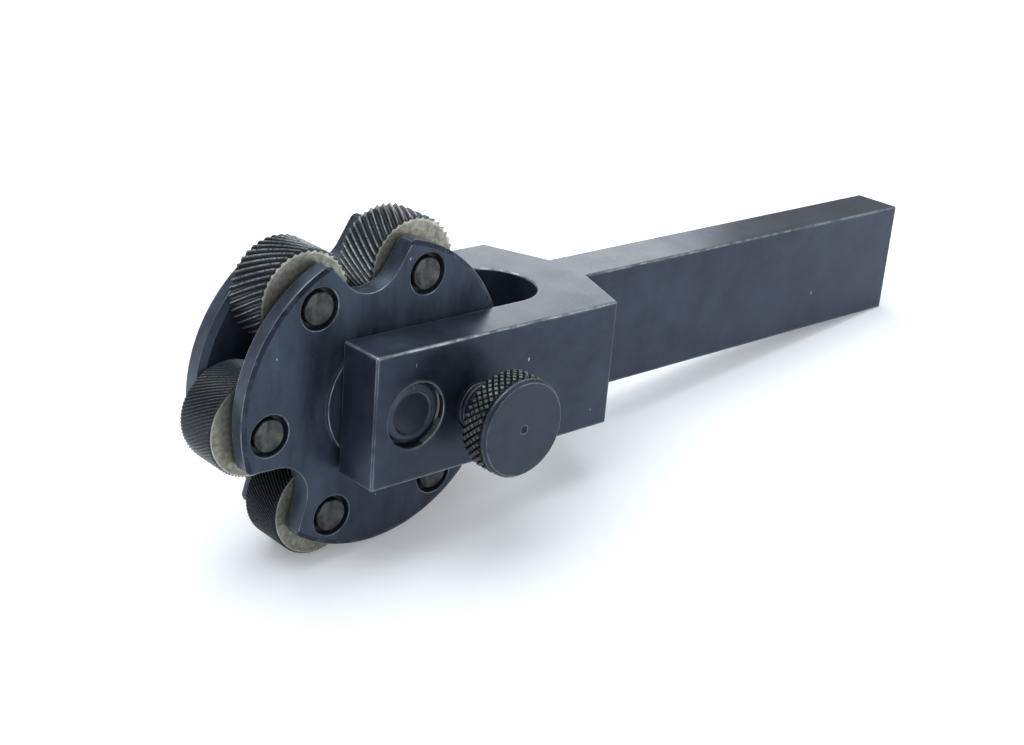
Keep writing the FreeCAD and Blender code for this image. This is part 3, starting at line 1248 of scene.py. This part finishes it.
@dataclass
class Studio:
    """The pale floor, the soft lamps, the world and the camera."""

    eye: tuple[float, float, float] = (-279.899, -228.001, 132.279)
    right: tuple[float, float, float] = (0.746275, -0.661089, 0.077684)
    up: tuple[float, float, float] = (0.195951, 0.329723, 0.923518)
    forward: tuple[float, float, float] = (0.636142, 0.673976, -0.375605)
    lens: float = 59.2072
    lamps: tuple[tuple[str, tuple[float, float, float], float, float], ...] = (
        ("back_softbox", (60.0, 136.0, 93.0), 120.0, 0.11),
        ("high_softbox", (-190.0, 110.0, 600.0), 680.0, 4.8),
        ("side_softbox", (160.0, -320.0, 300.0), 300.0, 0.6),
    )
    lamp_colour: str = "F8FEFF"
    ceiling: float = 0.3
    floor_rear: tuple[float, float] = (50.55, 0.0)
    floor_lift: float = 0.28
    paper: str = "E6E9EC"
    paper_lift: str = "FAFCFF"
    ceiling_colour: str = "EEF4FF"
    ceiling_rise: tuple[float, float] = (0.04, 0.22)
    aim: tuple[float, float, float] = (PIVOT_X + 40.0, 0.0, PIVOT_Z)
    white_middle: float = -30.0
    white_from: float = 105.0
    white_to: float = 270.0
    floor_half: float = 3000.0

    def build(self) -> None:
        """Sets up the whole studio."""
        self.camera()
        self.floor()
        self.world()
        for name, place, size, power in self.lamps:
            self.lamp(name, place, size, power)
        LOG.info("studio: camera, floor, world and %d soft lamps", len(self.lamps))

    def camera(self) -> None:
        """Stands the camera where the photograph was taken from."""
        data = bpy.data.cameras.new("camera")
        data.lens = self.lens
        data.sensor_width = 36.0
        data.clip_start = 0.01
        data.clip_end = 20.0
        camera = add_object("camera", data)
        backward = -Vector(self.forward)
        turn = Matrix((self.right, self.up, backward)).transposed().to_4x4()
        camera.matrix_world = Matrix.Translation(Vector(self.eye) * MM) @ turn
        bpy.context.scene.camera = camera

    def floor(self) -> None:
        """Lays the floor from the rear end of the shank to the lowest wheel, which it touches."""
        x1, z1 = self.floor_rear
        slope = max(self.slope_under(*wheel.axis, wheel.radius) for wheel in RevolvingHead().wheels())
        shape = bmesh.new()
        bmesh.ops.create_grid(shape, x_segments=1, y_segments=1, size=self.floor_half * MM)
        lie = Matrix.Translation(Vector((x1, 0.0, z1)) * MM) @ Matrix.Rotation(-slope, 4, "Y")
        bmesh.ops.transform(shape, matrix=lie, verts=shape.verts)
        mesh = bpy.data.meshes.new("studio_floor")
        shape.to_mesh(mesh)
        shape.free()
        mesh.materials.append(self.floor_material())
        floor = add_object("studio_floor", mesh)

    def slope_under(self, x: float, z: float, radius: float) -> float:
        """Gives the slope of the line from the shank's rear end that passes just under a wheel.

        Args:
            x: The wheel's axis along the shank.
            z: The wheel's axis in height.
            radius: The wheel's radius.

        Returns:
            The slope in radians, positive where the floor falls towards the head.
        """
        along, down = self.floor_rear[0] - x, self.floor_rear[1] - z
        return math.atan2(down, along) + math.asin(radius / math.hypot(along, down))

    def floor_material(self) -> bpy.types.Material:
        """Builds the floor's white, which the camera sees lifted but still shaded by the tool.

        Returns:
            The floor's material.
        """
        material = bpy.data.materials.new("white_paper_floor")
        material.use_nodes = True
        tree = material.node_tree
        tree.nodes.clear()
        paper = node_out(tree, "BsdfDiffuse", {"Color": to_linear(self.paper)})
        place = node_out(tree, "TexCoord", out="Object")
        away = (-self.white_middle * MM, 0.0, 0.0)
        from_tool = node_out(tree, "Mapping", {"Vector": place, "Location": away})
        reach = node_out(tree, "VectorMath", {0: from_tool}, out="Value", operation="LENGTH")
        strength = node_out(
            tree,
            "MapRange",
            {
                "Value": reach,
                "From Min": self.white_from * MM,
                "From Max": self.white_to * MM,
                "To Min": self.floor_lift,
                "To Max": 1.0,
            },
            interpolation_type="SMOOTHSTEP",
        )
        lift = node_out(tree, "Emission", {"Color": to_linear(self.paper_lift), "Strength": strength})
        lifted = node_out(tree, "AddShader", {0: paper, 1: lift})
        mix = node_out(tree, "MixShader", {0: self.in_sight(tree), 1: paper, 2: lifted})
        node_out(tree, "OutputMaterial", {"Surface": mix})
        return material

    def in_sight(self, tree: Tree) -> Socket:
        """Tells what the camera sees, straight or in a reflection, from what only lights the tool.

        Args:
            tree: The node tree of the world or of the floor.

        Returns:
            A socket that is 1 for rays from the camera and for mirrored or refracted ones.
        """
        path = node_out(tree, "LightPath").node.outputs
        mirrored = node_out(
            tree, "Math", {0: path["Is Glossy Ray"], 1: path["Is Transmission Ray"]}, operation="MAXIMUM"
        )
        return node_out(tree, "Math", {0: path["Is Camera Ray"], 1: mirrored}, operation="MAXIMUM")

    def world(self) -> None:
        """Makes a white backdrop under a dimmer ceiling, which lights the tool less than it shows."""
        world = bpy.data.worlds.new("white_surround")
        world.use_nodes = True
        bpy.context.scene.world = world
        tree = world.node_tree
        tree.nodes.clear()
        direction = node_out(tree, "TexCoord", out="Generated")
        height = node_out(tree, "SeparateXYZ", {"Vector": direction}, out="Z")
        low, high = self.ceiling_rise
        backdrop = node_out(
            tree,
            "MapRange",
            {"Value": height, "From Min": low, "From Max": high, "To Min": 1.0, "To Max": self.ceiling},
            interpolation_type="SMOOTHSTEP",
        )
        straight = node_out(tree, "LightPath", out="Is Camera Ray")
        shown = node_out(tree, "Math", {0: straight, 1: backdrop}, operation="MAXIMUM")
        seen = node_out(tree, "Background", {"Color": to_linear("FFFFFF"), "Strength": shown})
        dim = node_out(
            tree, "Background", {"Color": to_linear(self.ceiling_colour), "Strength": self.ceiling}
        )
        mix = node_out(tree, "MixShader", {0: self.in_sight(tree), 1: dim, 2: seen})
        node_out(tree, "OutputWorld", {"Surface": mix})

    def lamp(self, name: str, place: tuple[float, float, float], size: float, power: float) -> None:
        """Hangs a square softbox that faces the head.

        Args:
            name: The lamp's name.
            place: Where it hangs.
            size: The length of its side.
            power: Its power in watts.
        """
        data = bpy.data.lights.new(name, "AREA")
        data.energy = power
        data.size = size * MM
        data.color = to_linear(self.lamp_colour)[:3]
        lamp = add_object(name, data)
        towards = Vector(self.aim) - Vector(place)
        turn = towards.to_track_quat("-Z", "Y").to_matrix().to_4x4()
        lamp.matrix_world = Matrix.Translation(Vector(place) * MM) @ turn
        lamp.visible_camera = False


def assign(node: bpy.types.Object, material: bpy.types.Material) -> None:
    """Puts a finish on a CAD node without touching its mesh's shape.

    Args:
        node: The CAD node's object.
        material: The finish.
    """
    node.data.materials.clear()
    node.data.materials.append(material)


def main() -> None:
    """Builds and dresses every sub-assembly, then the studio."""
    logging.basicConfig(level=logging.INFO, format="%(name)s: %(message)s")
    bpy.context.scene.view_settings.view_transform = "Standard"
    Holder().dress()
    RevolvingHead().dress()
    LockScrew().dress()
    Studio().build()


if __name__ == "__main__":
    main()
